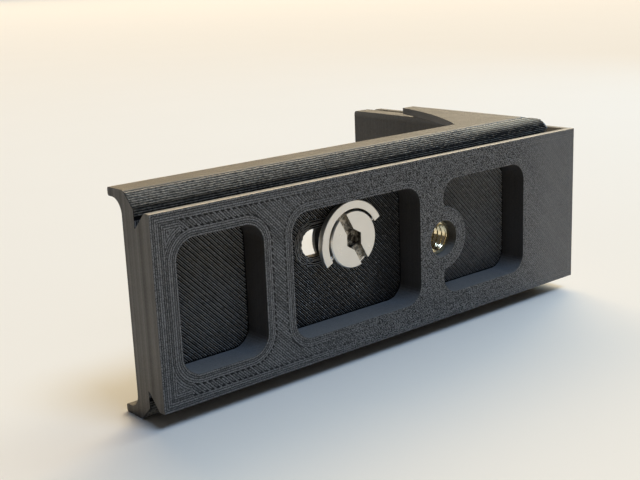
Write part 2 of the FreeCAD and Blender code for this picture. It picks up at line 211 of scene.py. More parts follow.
@dataclass(frozen=True)
class Recess:
    """A pocket of the outer face, seen along Y: a rectangle with round corners."""

    left: float
    right: float
    low: float = 9.1 * MM
    high: float = 35.7 * MM
    radius: float = 4.2 * MM

    def distance(self, x: float, z: float) -> float:
        """Measure how far a point lies outside the pocket's outline.

        Args:
            x: Place along the base.
            z: Height.

        Returns:
            Distance to the outline, below 0 inside it.
        """
        across = abs(x - (self.left + self.right) / 2) - (self.right - self.left) / 2 + self.radius
        up = abs(z - (self.low + self.high) / 2) - (self.high - self.low) / 2 + self.radius
        outside = math.hypot(max(across, 0.0), max(up, 0.0))
        return outside + min(max(across, up), 0.0) - self.radius

    def shade_distance(self, bench: Bench, x: Socket, z: Socket) -> Socket:
        """Give the same distance as shader nodes.

        Args:
            bench: Material to add the nodes to.
            x: Place along the base.
            z: Height.

        Returns:
            Distance to the outline, below 0 inside it.
        """
        half_width = (self.right - self.left) / 2 - self.radius
        half_height = (self.high - self.low) / 2 - self.radius
        across = bench.math("ABSOLUTE", bench.math("SUBTRACT", x, (self.left + self.right) / 2))
        across = bench.math("SUBTRACT", across, half_width)
        up = bench.math("ABSOLUTE", bench.math("SUBTRACT", z, (self.low + self.high) / 2))
        up = bench.math("SUBTRACT", up, half_height)
        wide = bench.math("POWER", bench.math("MAXIMUM", across, 0.0), 2.0)
        tall = bench.math("POWER", bench.math("MAXIMUM", up, 0.0), 2.0)
        outside = bench.math("SQRT", bench.math("ADD", wide, tall))
        inside = bench.math("MINIMUM", bench.math("MAXIMUM", across, up), 0.0)
        return bench.math("SUBTRACT", bench.math("ADD", outside, inside), self.radius)


END_POCKET = Recess(-56.5 * MM, -36.5 * MM)
SCREW_POCKET = Recess(-29.4 * MM, 6.6 * MM)
INSERT_POCKET = Recess(14.0 * MM, 42.0 * MM)
POCKETS = (END_POCKET, SCREW_POCKET, INSERT_POCKET)
BOSS_CENTRE = (14.0 * MM, MIDDLE)
BOSS_RADIUS = 7.2 * MM
INSERT_HOLE = 4.13 * MM


@dataclass(frozen=True)
class PrintedPlastic:
    """Matte black print: stacked layers on the walls, laid lines and speckle on the flat faces."""

    name: str = "printed_plastic"
    dark: Colour = (0.004, 0.004, 0.0045, 1.0)
    light: Colour = (0.152, 0.150, 0.152, 1.0)
    wall_light: Colour = (0.118, 0.108, 0.102, 1.0)
    # Paler grey of the painted light on the pocket ledges
    ledge_light_colour: Colour = (0.165, 0.167, 0.17, 1.0)
    roughness: float = 0.44
    line: float = 0.46 * MM
    border_lines: float = 4.0
    relief: float = 0.05 * MM
    floor_start: float = -29.5 * MM
    seat_start: float = -27.5 * MM
    groove_start: float = -31.0 * MM
    groove_side: float = 17.2 * MM
    end_band: float = -55.2 * MM
    end_run: tuple[float, float] = (-59.0 * MM, -61.0 * MM)
    pit_width: tuple[float, float] = (0.32 * MM, 0.12 * MM)
    pit_run: tuple[float, float] = (-30.0 * MM, 20.0 * MM)
    calm_run: tuple[float, float] = (34.0 * MM, 54.0 * MM)
    lively_run: tuple[float, float] = (-45.0 * MM, 0.0)
    calm_tone: float = 0.72
    calm_share: float = 0.72
    speck_scale: float = 4400.0
    grain_scale: float = 2600.0
    streak_scale: float = 640.0
    gloss_scale: float = 160.0
    ledge_run: tuple[float, float] = (0.5 * MM, 0.3 * MM)
    ledge_light_reach: float = 58.0 * MM
    join_shift: float = 0.3
    dot_limits: tuple[float, float] = (0.0, 0.7)
    pit_shares: tuple[float, float] = (0.8, 0.3)
    speck_limits: tuple[float, float] = (0.42, 0.58)
    speck_dark: tuple[float, float] = (0.40, 0.0)
    speck_light: tuple[float, float] = (1.18, 1.36)
    ridge_limits: tuple[float, float] = (0.15, 0.8)
    line_tones: tuple[float, float] = (0.55, 1.2)
    lively_wear: float = 0.55
    calm_wear: float = 0.8
    ledge_facing: tuple[float, float] = (0.2, 0.7)
    ledge_light_shares: tuple[float, float] = (0.4, 1.2)
    streak_limits: tuple[float, float] = (0.2, 0.8)
    streak_rest: float = 0.45
    end_facing: tuple[float, float] = (-0.5, -0.9)
    flat_facing: tuple[float, float] = (0.85, 0.95)
    layer_share: float = 0.1
    grain_share: float = 0.45
    streak_share: float = 0.4
    wall_dim: float = 0.08
    recess_shade_share: float = 0.95
    recess_shade_shine: float = 0.03
    wall_shines: tuple[float, float] = (0.2, 0.72)
    face_shine: float = 0.2
    face_shine_swing: float = 0.6
    bead_height: float = 1.4
    grain_height: float = 0.7
    bump_strength: float = 0.5
    gloss_swing: float = 0.16

    def outline_distance(self, bench: Bench, x: Socket, z: Socket) -> Socket:
        """Give the distance to the nearest outline of the outer face.

        Args:
            bench: Material to add the nodes to.
            x: Place along the base.
            z: Height.

        Returns:
            Distance to the nearest pocket, insert hole or edge.
        """
        across = bench.math("SUBTRACT", x, BOSS_CENTRE[0])
        up = bench.math("SUBTRACT", z, BOSS_CENTRE[1])
        squares = bench.math("ADD", bench.math("POWER", across, 2.0), bench.math("POWER", up, 2.0))
        centre = bench.math("SQRT", squares)
        outside_boss = bench.math("SUBTRACT", BOSS_RADIUS, centre)
        nearest = bench.math("ABSOLUTE", bench.math("SUBTRACT", centre, INSERT_HOLE))
        for pocket in POCKETS:
            found = pocket.shade_distance(bench, x, z)
            if pocket is INSERT_POCKET:
                found = bench.math("MAXIMUM", found, outside_boss)
            nearest = bench.math("MINIMUM", nearest, bench.math("ABSOLUTE", found))
        edge = bench.math("SUBTRACT", DOVETAIL_HALF, bench.math("ABSOLUTE", up))
        end = bench.math("SUBTRACT", BASE_HALF, bench.math("ABSOLUTE", x))
        return bench.math("MINIMUM", nearest, bench.math("MINIMUM", edge, end))

    def laid_lines(self, bench: Bench, x: Socket, z: Socket, away: Socket) -> tuple[Socket, Socket]:
        """Give the lines of the outer face: loops along each outline and slanted lines between them.

        Args:
            bench: Material to add the nodes to.
            x: Place along the base.
            z: Height.
            away: Distance to the nearest outline.

        Returns:
            The rounded height of the lines and a tone that differs from line to line.
        """
        near = bench.math("LESS_THAN", away, self.line * 2 * self.border_lines)
        end_band = bench.math("MULTIPLY", bench.math("LESS_THAN", x, self.end_band), near)
        border = bench.math("MAXIMUM", bench.math("LESS_THAN", away, self.line * self.border_lines), end_band)
        slanted = bench.math("MULTIPLY", bench.math("ADD", x, z), math.sqrt(0.5))
        travel = bench.math("DIVIDE", bench.mix(border, slanted, away), self.line)
        ridge = bench.math("ABSOLUTE", bench.math("SINE", bench.math("MULTIPLY", travel, math.pi)))
        join = bench.math("SUBTRACT", away, self.line * (self.border_lines + self.join_shift))
        join = bench.math("ABSOLUTE", join)
        dots = bench.math("SINE", bench.math("MULTIPLY", slanted, math.pi / self.line))
        pit = bench.math("MULTIPLY", bench.step(dots, *self.dot_limits), bench.step(join, *self.pit_width))
        fade = bench.mix(bench.step(x, *self.pit_run), *self.pit_shares)
        pit = bench.math("MULTIPLY", bench.math("MULTIPLY", pit, fade), bench.math("SUBTRACT", 1.0, end_band))
        ridge = bench.math("MULTIPLY", ridge, bench.math("SUBTRACT", 1.0, pit))
        number = bench.math("FLOOR", travel)
        tone = bench.node("ShaderNodeTexWhiteNoise", {"noise_dimensions": "1D"}, W=number).outputs[0]
        return ridge, tone

    def face_tone(self, bench: Bench, point: Socket, x: Socket, ridge: Socket, line_tone: Socket) -> Socket:
        """Give the tone of the flat faces: dark gaps, uneven lines and speckle that calms towards the leg.

        Args:
            bench: Material to add the nodes to.
            point: Point on the piece.
            x: Place along the base.
            ridge: Rounded height of the lines.
            line_tone: Tone of each line.

        Returns:
            The tone from dark to light.
        """
        calm = bench.step(x, *self.calm_run)
        lively = bench.step(x, *self.lively_run)
        speck = bench.step(bench.noise(point, self.speck_scale, 1.0), *self.speck_limits)
        speck = bench.mix(bench.math("MULTIPLY", calm, self.calm_share), speck, self.calm_tone)
        lines = bench.step(ridge, *self.ridge_limits)
        lines = bench.math("MULTIPLY", lines, bench.mix(line_tone, *self.line_tones))
        worn = bench.mix(calm, bench.math("MULTIPLY", lively, self.lively_wear), self.calm_wear)
        lines = bench.mix(worn, lines, self.calm_tone)
        speck_low = bench.mix(lively, *self.speck_dark)
        speck_high = bench.mix(lively, *self.speck_light)
        return bench.math("MULTIPLY", lines, bench.mix(speck, speck_low, speck_high))

    def painted_ledge_light(self, bench: Bench, facing_z: Socket, away: Socket, x: Socket, grain: Socket) -> Socket:
        """Give the share of painted light, which lightens the upward-facing ledges of the pockets.

        Args:
            bench: Material to add the nodes to.
            facing_z: How far the surface faces up.
            away: Distance to the nearest outline.
            x: Place along the base.
            grain: Fine noise.

        Returns:
            The share from 0 to 1.
        """
        ledge = bench.step(facing_z, *self.ledge_facing)
        ledge = bench.math("MULTIPLY", ledge, bench.step(away, *self.ledge_run))
        inner = bench.math("LESS_THAN", bench.math("ABSOLUTE", x), self.ledge_light_reach)
        share = bench.math("MULTIPLY", ledge, inner)
        return bench.math("MULTIPLY", share, bench.mix(grain, *self.ledge_light_shares))

    def streaks(self, bench: Bench, x: Socket, y: Socket, facing_x: Socket) -> Socket:
        """Give the streaks along the layers on the face of the free end.

        Args:
            bench: Material to add the nodes to.
            x: Place along the base.
            y: Place across the layers.
            facing_x: How far the surface faces towards the leg.

        Returns:
            The streaks from 0 to 1, with one middle value everywhere else.
        """
        layers = bench.node("ShaderNodeCombineXYZ", None, Y=y).outputs[0]
        streak = bench.step(bench.noise(layers, self.streak_scale), *self.streak_limits)
        free_end = bench.step(facing_x, *self.end_facing)
        free_end = bench.math("MULTIPLY", bench.step(x, *self.end_run), free_end)
        return bench.mix(free_end, self.streak_rest, streak)

    def painted_recess_shade(self, bench: Bench, y: Socket, z: Socket, flat: Socket) -> Socket:
        """Find the pocket floors and groove walls behind the outer face, which get painted shade.

        Args:
            bench: Material to add the nodes to.
            y: Place across the layers.
            z: Height.
            flat: Share of the flat faces.

        Returns:
            The share from 0 to 1.
        """
        floor = bench.math("GREATER_THAN", y, self.floor_start)
        height = bench.math("ABSOLUTE", bench.math("SUBTRACT", z, MIDDLE))
        aside = bench.math("GREATER_THAN", height, self.groove_side)
        groove = bench.math("MULTIPLY", aside, bench.math("GREATER_THAN", y, self.groove_start))
        dark = bench.math("MULTIPLY", bench.math("MAXIMUM", floor, groove), flat)
        return bench.math("MULTIPLY", dark, bench.math("LESS_THAN", y, self.seat_start))

    def build(self) -> bpy.types.Material:
        """Make the material.

        Returns:
            The finished material.
        """
        bench = Bench(self.name)
        point, x, y, z = bench.place()
        facing = bench.node("ShaderNodeNewGeometry").outputs["True Normal"]
        facing_split = bench.node("ShaderNodeSeparateXYZ", None, Vector=facing)
        flat = bench.step(bench.math("ABSOLUTE", facing_split.outputs[1]), *self.flat_facing)
        level = bench.math("DIVIDE", y, LAYER)
        bead = bench.math("ABSOLUTE", bench.math("SINE", bench.math("MULTIPLY", level, math.pi)))
        number = bench.math("FLOOR", level)
        layer_tone = bench.node("ShaderNodeTexWhiteNoise", {"noise_dimensions": "1D"}, W=number).outputs[0]
        front = bench.math("LESS_THAN", y, self.seat_start)
        away = bench.mix(front, self.line * 3 * self.border_lines, self.outline_distance(bench, x, z))
        ridge, line_tone = self.laid_lines(bench, x, z, away)
        grain = bench.noise(point, self.grain_scale, 3.0)
        streak = self.streaks(bench, x, y, facing_split.outputs[0])
        face_tone = self.face_tone(bench, point, x, ridge, line_tone)
        wall_tone = bench.math("MULTIPLY", grain, self.grain_share)
        wall_tone = bench.math("MULTIPLY_ADD", layer_tone, self.layer_share, wall_tone)
        wall_tone = bench.math("SUBTRACT", wall_tone, self.wall_dim)
        wall_tone = bench.math("MULTIPLY_ADD", streak, self.streak_share, wall_tone)
        tone = bench.node("ShaderNodeClamp", None, Value=bench.mix(flat, wall_tone, face_tone)).outputs[0]
        colour = bench.blend(tone, self.dark, bench.blend(flat, self.wall_light, self.light))
        # Painted light: the upward-facing ledges of the pockets get a paler grey, uneven with the grain
        painted_ledge_light = self.painted_ledge_light(bench, facing_split.outputs[2], away, x, grain)
        colour = bench.blend(painted_ledge_light, colour, self.ledge_light_colour)
        # Painted shade: the pocket floors between the strands and the groove walls are darkened almost to
        # black
        painted_shade = self.painted_recess_shade(bench, y, z, flat)
        colour = bench.blend(bench.math("MULTIPLY", painted_shade, self.recess_shade_share), colour, self.dark)
        wall_shine = bench.mix(streak, *self.wall_shines)
        face_shine = bench.math("MULTIPLY_ADD", tone, self.face_shine_swing, self.face_shine)
        shine = bench.mix(painted_shade, bench.mix(flat, wall_shine, face_shine), self.recess_shade_shine)
        beads = bench.math("MULTIPLY", bead, self.bead_height)
        height = bench.mix(flat, beads, bench.math("ADD", ridge, tone))
        height = bench.math("ADD", height, bench.math("MULTIPLY", grain, self.grain_height))
        bump = bench.node(
            "ShaderNodeBump", None, Strength=self.bump_strength, Distance=self.relief, Height=height
        )
        gloss = bench.noise(point, self.gloss_scale)
        lowest = self.roughness - self.gloss_swing / 2
        roughness = bench.math("MULTIPLY_ADD", gloss, self.gloss_swing, lowest)
        return bench.finish(
            Base_Color=colour, Roughness=roughness, Specular_IOR_Level=shine, Normal=bump.outputs[0]
        )


@dataclass(frozen=True)
class StrandPlastic:
    """The same plastic on bare strands, smoother and glossier than the walls, with painted glints and painted
    shade towards the leg.
    """

    name: str = "strand_plastic"
    dark: Colour = (0.006, 0.006, 0.0065, 1.0)
    light: Colour = (0.200, 0.197, 0.195, 1.0)
    painted_glint_colour: Colour = (0.75, 0.75, 0.75, 1.0)
    painted_glints: float = 0.25
    roughness: float = 0.3
    pocket_shade_start: float = -8.0 * MM
    pocket_shade_end: float = 3.0 * MM
    pocket_shade_share: float = 0.0
    grain_scale: float = 1500.0
    glint_scale: float = 2300.0
    gloss_scale: float = 420.0
    relief: float = 0.05 * MM
    grain_limits: tuple[float, float] = (0.0, 0.6)
    glint_limits: tuple[float, float] = (0.6, 0.72)
    shines: tuple[float, float] = (0.5, 0.1)
    gloss_swing: float = 0.25
    gloss_drop: float = 0.1
    bump_strength: float = 0.6

    def build(self) -> bpy.types.Material:
        """Make the material.

        Returns:
            The finished material.
        """
        bench = Bench(self.name)
        point, x, _, _ = bench.place()
        grain = bench.noise(point, self.grain_scale, 3.0)
        colour = bench.blend(bench.step(grain, *self.grain_limits), self.dark, self.light)
        # Painted glints: pale specks blended into the colour
        glint = bench.step(bench.noise(point, self.glint_scale, 1.0), *self.glint_limits)
        glint = bench.math("MULTIPLY", glint, self.painted_glints)
        colour = bench.blend(glint, colour, self.painted_glint_colour)
        # Painted shade: the strands darken along X towards the leg where its share is set
        painted_pocket_shade = bench.math("MULTIPLY", bench.step(x, self.pocket_shade_start, self.pocket_shade_end), self.pocket_shade_share)
        colour = bench.blend(painted_pocket_shade, colour, self.dark)
        gloss = bench.noise(point, self.gloss_scale)
        roughness = bench.math("MULTIPLY_ADD", gloss, self.gloss_swing, self.roughness - self.gloss_drop)
        bump = bench.node(
            "ShaderNodeBump", None, Strength=self.bump_strength, Distance=self.relief, Height=grain
        )
        shine = bench.mix(painted_pocket_shade, *self.shines)
        return bench.finish(
            Base_Color=colour, Roughness=roughness, Specular_IOR_Level=shine, Normal=bump.outputs[0]
        )


@dataclass(frozen=True)
class StepPlastic:
    """The same plastic on the flare with painted light: painted shade at the groove, painted light on the
    pale top rows and a painted sheen at the gusset.
    """

    name: str = "step_plastic"
    # low is painted shade near the groove, high is painted light on the top rows, rounded is a painted sheen
    # at the gusset
    low: Colour = (0.010, 0.010, 0.011, 1.0)
    high: Colour = (0.215, 0.196, 0.166, 1.0)
    rounded: Colour = (0.62, 0.535, 0.40, 1.0)
    roughness: float = 0.36
    grain_scale: float = 1700.0
    relief: float = 0.05 * MM
    wall_rise: tuple[float, float] = (18.75 * MM, 18.65 * MM)
    wall_share: float = 0.55
    mouth_rise: tuple[float, float] = (19.4 * MM, 19.25 * MM)
    mouth_share: float = 0.33
    foot_rise: tuple[float, float] = (19.5 * MM, 19.75 * MM)
    flare_rise: tuple[float, float] = (17.0 * MM, 22.6 * MM)
    gusset_rise: tuple[float, float] = (19.9 * MM, 21.6 * MM)
    gusset_run: tuple[float, float] = (24.0 * MM, 38.0 * MM)
    gap_rise: tuple[float, float] = (22.6 * MM, 19.75 * MM)
    gap_run: tuple[float, float] = (-70.0 * MM, 15.0 * MM)
    gap_limits: tuple[float, float] = (0.2, 0.42)
    dash_limits: tuple[float, float] = (0.3, 0.66)
    dash_low: tuple[float, float] = (0.35, 0.9)
    dash_high: tuple[float, float] = (1.25, 1.0)
    tone_shines: tuple[float, float] = (0.12, 0.55)
    dash_shines: tuple[float, float] = (0.5, 1.2)
    calm_shines: tuple[float, float] = (1.0, 0.4)
    bump_strength: float = 0.6

    def bands(self, bench: Bench, x: Socket, height: Socket) -> tuple[Socket, Socket]:
        """Give the painted light and shade across the flare.

        Args:
            bench: Material to add the nodes to.
            x: Place along the base.
            height: Height from the dovetail's middle.

        Returns:
            The tone from painted shade to painted light, and the share of the painted sheen at the gusset.
        """
        wall = bench.math("MULTIPLY", bench.step(height, *self.wall_rise), self.wall_share)
        mouth = bench.math("MULTIPLY", bench.step(height, *self.mouth_rise), self.mouth_share)
        below = bench.math("MAXIMUM", mouth, wall)
        foot = bench.step(height, *self.foot_rise)
        flare = bench.math("MULTIPLY", bench.step(height, *self.flare_rise), foot)
        gusset = bench.step(x, *self.gusset_run)
        rounded = bench.step(height, *self.gusset_rise)
        tone = bench.math("MAXIMUM", bench.mix(gusset, flare, rounded), below)
        return tone, bench.math("MULTIPLY", gusset, rounded)

    def painted_layer_shade(self, bench: Bench, x: Socket, height: Socket) -> Socket:
        """Paint shade into the gaps between the layers, more towards the leg and near the groove.

        Args:
            bench: Material to add the nodes to.
            x: Place along the base.
            height: Height from the dovetail's middle.

        Returns:
            The share of light that is left.
        """
        level = bench.math("DIVIDE", bench.math("SUBTRACT", height, FLARE_START), LAYER)
        from_middle = bench.math("ABSOLUTE", bench.math("SUBTRACT", bench.math("FRACT", level), 0.5))
        depth = bench.math("MULTIPLY", bench.step(x, *self.gap_run), bench.step(height, *self.gap_rise))
        # Painted shade in the gaps between the layers
        painted_shade = bench.math("MULTIPLY", bench.step(from_middle, *self.gap_limits), depth)
        return bench.math("SUBTRACT", 1.0, painted_shade)

    def build(self) -> bpy.types.Material:
        """Make the material.

        Returns:
            The finished material.
        """
        bench = Bench(self.name)
        point, x, _, z = bench.place()
        height = bench.math("ABSOLUTE", bench.math("SUBTRACT", z, MIDDLE))
        tone, calm = self.bands(bench, x, height)
        lit = self.painted_layer_shade(bench, x, height)
        grain = bench.noise(point, self.grain_scale)
        dash = bench.step(grain, *self.dash_limits)
        uneven = bench.mix(dash, bench.mix(calm, *self.dash_low), bench.mix(calm, *self.dash_high))
        share = bench.math("MULTIPLY", bench.math("MULTIPLY", tone, uneven), lit)
        share = bench.node("ShaderNodeClamp", None, Value=share).outputs[0]
        # Painted light and shade across the flare, with the painted sheen where the gusset meets the lip
        colour = bench.blend(share, self.low, bench.blend(calm, self.high, self.rounded))
        glint = bench.mix(dash, *self.dash_shines)
        glint = bench.math("MULTIPLY", bench.mix(tone, *self.tone_shines), glint)
        shine = bench.math("MULTIPLY", bench.math("MULTIPLY", glint, lit), bench.mix(calm, *self.calm_shines))
        bump = bench.node(
            "ShaderNodeBump", None, Strength=self.bump_strength, Distance=self.relief, Height=grain
        )
        return bench.finish(
            Base_Color=colour, Roughness=self.roughness, Specular_IOR_Level=shine, Normal=bump.outputs[0]
        )


@dataclass(frozen=True)
class SatinSteel:
    """Turned steel with faint rings about the screw's axis and a rough, tan socket."""

    name: str = "screw_steel"
    colour: Colour = (0.70, 0.68, 0.645, 1.0)
    arm_colour: Colour = (0.60, 0.55, 0.47, 1.0)
    socket_colour: Colour = (0.05, 0.042, 0.034, 1.0)
    smear_colour: Colour = (0.5, 0.47, 0.43, 1.0)
    roughness: float = 0.3
    relief: float = 0.02 * MM
    grain_scale: float = 1900.0
    smear_scale: float = 420.0
    patch_scale: float = 900.0
    face: float = -32.2 * MM
    sunk_run: tuple[float, float] = (0.08 * MM, 0.3 * MM)
    socket_depth: float = 2.4 * MM
    hub_run: tuple[float, float] = (4.2 * MM, 1.6 * MM)
    head_radius: float = 6.0 * MM
    ring: float = 0.16 * MM
    patch_limits: tuple[float, float] = (0.42, 0.56)
    pit_limits: tuple[float, float] = (0.42, 0.62)
    pit_share: float = 0.75
    smear_share: float = 0.12
    ring_height: float = 0.12
    grain_height: float = 0.4
    socket_height: float = 9.0
    socket_dullness: float = 0.18
    gloss_swing: float = 0.14
    bump_strength: float = 0.35

    def build(self) -> bpy.types.Material:
        """Make the material.

        Returns:
            The finished material.
        """
        bench = Bench(self.name)
        point, x, y, z = bench.place()
        across = bench.math("SUBTRACT", x, SCREW_AXIS[0])
        up = bench.math("SUBTRACT", z, SCREW_AXIS[1])
        squares = bench.math("ADD", bench.math("POWER", across, 2.0), bench.math("POWER", up, 2.0))
        radius = bench.math("SQRT", squares)
        turned = bench.math("SINE", bench.math("MULTIPLY", radius, 2 * math.pi / self.ring))
        sunk = bench.step(y, self.face + self.sunk_run[0], self.face + self.sunk_run[1])
        inner = bench.math("LESS_THAN", radius, self.head_radius)
        front = bench.math("LESS_THAN", y, self.face + self.socket_depth)
        socket = bench.math("MULTIPLY", bench.math("MULTIPLY", sunk, inner), front)
        grain = bench.noise(point, self.grain_scale, 4.0)
        smear = bench.noise(point, self.smear_scale, 3.0)
        # Dark patches, stronger towards the middle of the socket
        worn = bench.step(bench.noise(point, self.patch_scale, 4.0), *self.patch_limits)
        hub = bench.math("MULTIPLY", bench.math("MULTIPLY", socket, worn), bench.step(radius, *self.hub_run))
        pits = bench.step(bench.noise(point, self.grain_scale, 3.0), *self.pit_limits)
        pitted = bench.math("MULTIPLY", socket, pits)
        colour = bench.blend(socket, self.colour, self.arm_colour)
        colour = bench.blend(bench.math("MULTIPLY", pitted, self.pit_share), colour, self.socket_colour)
        colour = bench.blend(hub, colour, self.socket_colour)
        colour = bench.blend(bench.math("MULTIPLY", smear, self.smear_share), colour, self.smear_colour)
        height = bench.math("MULTIPLY", grain, self.grain_height)
        height = bench.math("ADD", bench.math("MULTIPLY", turned, self.ring_height), height)
        height = bench.math("MULTIPLY_ADD", bench.math("MULTIPLY", socket, grain), self.socket_height, height)
        bump = bench.node(
            "ShaderNodeBump", None, Strength=self.bump_strength, Distance=self.relief, Height=height
        )
        lowest = self.roughness - self.gloss_swing / 2
        roughness = bench.math("MULTIPLY_ADD", smear, self.gloss_swing, lowest)
        roughness = bench.math("ADD", roughness, bench.math("MULTIPLY", socket, self.socket_dullness))
        return bench.finish(Base_Color=colour, Metallic=1.0, Roughness=roughness, Normal=bump.outputs[0])


@dataclass(frozen=True)
class BrightBrass:
    """Machined brass with small smears."""

    name: str = "insert_brass"
    colour: Colour = (0.95, 0.81, 0.54, 1.0)
    smear_colour: Colour = (0.45, 0.32, 0.15, 1.0)
    roughness: float = 0.16
    smear_scale: float = 900.0
    relief: float = 0.02 * MM
    smear_limits: tuple[float, float] = (0.52, 0.82)
    gloss_swing: float = 0.2
    bump_strength: float = 0.2

    def build(self) -> bpy.types.Material:
        """Make the material.

        Returns:
            The finished material.
        """
        bench = Bench(self.name)
        point = bench.place()[0]
        smear = bench.noise(point, self.smear_scale, 3.0)
        colour = bench.blend(bench.step(smear, *self.smear_limits), self.colour, self.smear_colour)
        lowest = self.roughness - self.gloss_swing / 2
        roughness = bench.math("MULTIPLY_ADD", smear, self.gloss_swing, lowest)
        bump = bench.node(
            "ShaderNodeBump", None, Strength=self.bump_strength, Distance=self.relief, Height=smear
        )
        return bench.finish(Base_Color=colour, Metallic=1.0, Roughness=roughness, Normal=bump.outputs[0])


@dataclass(frozen=True)
class GreyNylon:
    """Dark grey plastic of the retaining washer."""

    name: str = "washer_plastic"
    dark: Colour = (0.045, 0.045, 0.044, 1.0)
    light: Colour = (0.085, 0.084, 0.08, 1.0)
    roughness: float = 0.42
    grain_scale: float = 1300.0
    relief: float = 0.02 * MM
    bump_strength: float = 0.2

    def build(self) -> bpy.types.Material:
        """Make the material.

        Returns:
            The finished material.
        """
        bench = Bench(self.name)
        point = bench.place()[0]
        grain = bench.noise(point, self.grain_scale, 3.0)
        bump = bench.node(
            "ShaderNodeBump", None, Strength=self.bump_strength, Distance=self.relief, Height=grain
        )
        colour = bench.blend(grain, self.dark, self.light)
        return bench.finish(Base_Color=colour, Roughness=self.roughness, Normal=bump.outputs[0])


@dataclass(frozen=True)
class PaleTable:
    """Pale matte table with hardly any mottle."""

    name: str = "pale_table"
    colour: Colour = (0.87, 0.83, 0.772, 1.0)
    mottle: Colour = (0.855, 0.815, 0.757, 1.0)
    roughness: float = 0.6
    mottle_scale: float = 14.0

    def build(self) -> bpy.types.Material:
        """Make the material.

        Returns:
            The finished material.
        """
        bench = Bench(self.name)
        point = bench.place()[0]
        colour = bench.blend(bench.noise(point, self.mottle_scale, 3.0), self.colour, self.mottle)
        return bench.finish(Base_Color=colour, Roughness=self.roughness, Specular_IOR_Level=0.0)


class MeshMaker:
    """Collects points and faces, then turns them into one object."""

    def __init__(self) -> None:
        """Start with no points and no faces."""
        self.points: list[Point] = []
        self.faces: list[tuple[int, ...]] = []

    def strip(self, rows: list[list[Point]], closed: bool = False) -> None:
        """Join rows of points with quads.

        Args:
            rows: Rows with the same number of points each.
            closed: True if each row's last point joins its first.
        """
        numbers = []
        for row in rows:
            start = len(self.points)
            self.points.extend(row)
            numbers.append(list(range(start, start + len(row))))
        for near, far in zip(numbers, numbers[1:]):
            count = len(near)
            for index in range(count if closed else count - 1):
                after = (index + 1) % count
                self.faces.append((near[index], near[after], far[after], far[index]))

    def build(self, name: str, material: bpy.types.Material) -> bpy.types.Object:
        """Make the object.

        Args:
            name: Name of the object.
            material: Its material.

        Returns:
            The new object, linked to the scene and shaded smooth.
        """
        mesh = bpy.data.meshes.new(name)
        mesh.from_pydata(self.points, [], self.faces)
        mesh.validate()
        mesh.materials.append(material)
        mesh.polygons.foreach_set("use_smooth", [True] * len(mesh.polygons))
        mesh.update()
        piece = bpy.data.objects.new(name, mesh)
        bpy.context.scene.collection.objects.link(piece)
        return piece


def bead_row(
    centre: Vector, across: Vector, out: Vector, half_width: float, height: float, steps: int
) -> list[Point]:
    """Give the points of one half-round cross-section of a bead.

    Args:
        centre: Middle of the bead's foot.
        across: Unit direction across the bead.
        out: Unit direction away from the surface.
        half_width: Half of the bead's width.
        height: Height of the bead.
        steps: Number of steps round the half circle.

    Returns:
        The points from one foot to the other.
    """
    row = []
    for step in range(steps + 1):
        angle = math.pi * step / steps
        spot = centre + across * (half_width * math.cos(angle)) + out * (height * math.sin(angle))
        row.append(tuple(spot))
    return row


def dress(node: str, material: bpy.types.Material) -> None:
    """Give a solid its finish.

    Args:
        node: Name of the solid.
        material: The finish.
    """
    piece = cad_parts[node]
    piece.data.materials.clear()
    piece.data.materials.append(material)
    LOG.info("dressed %s", node)


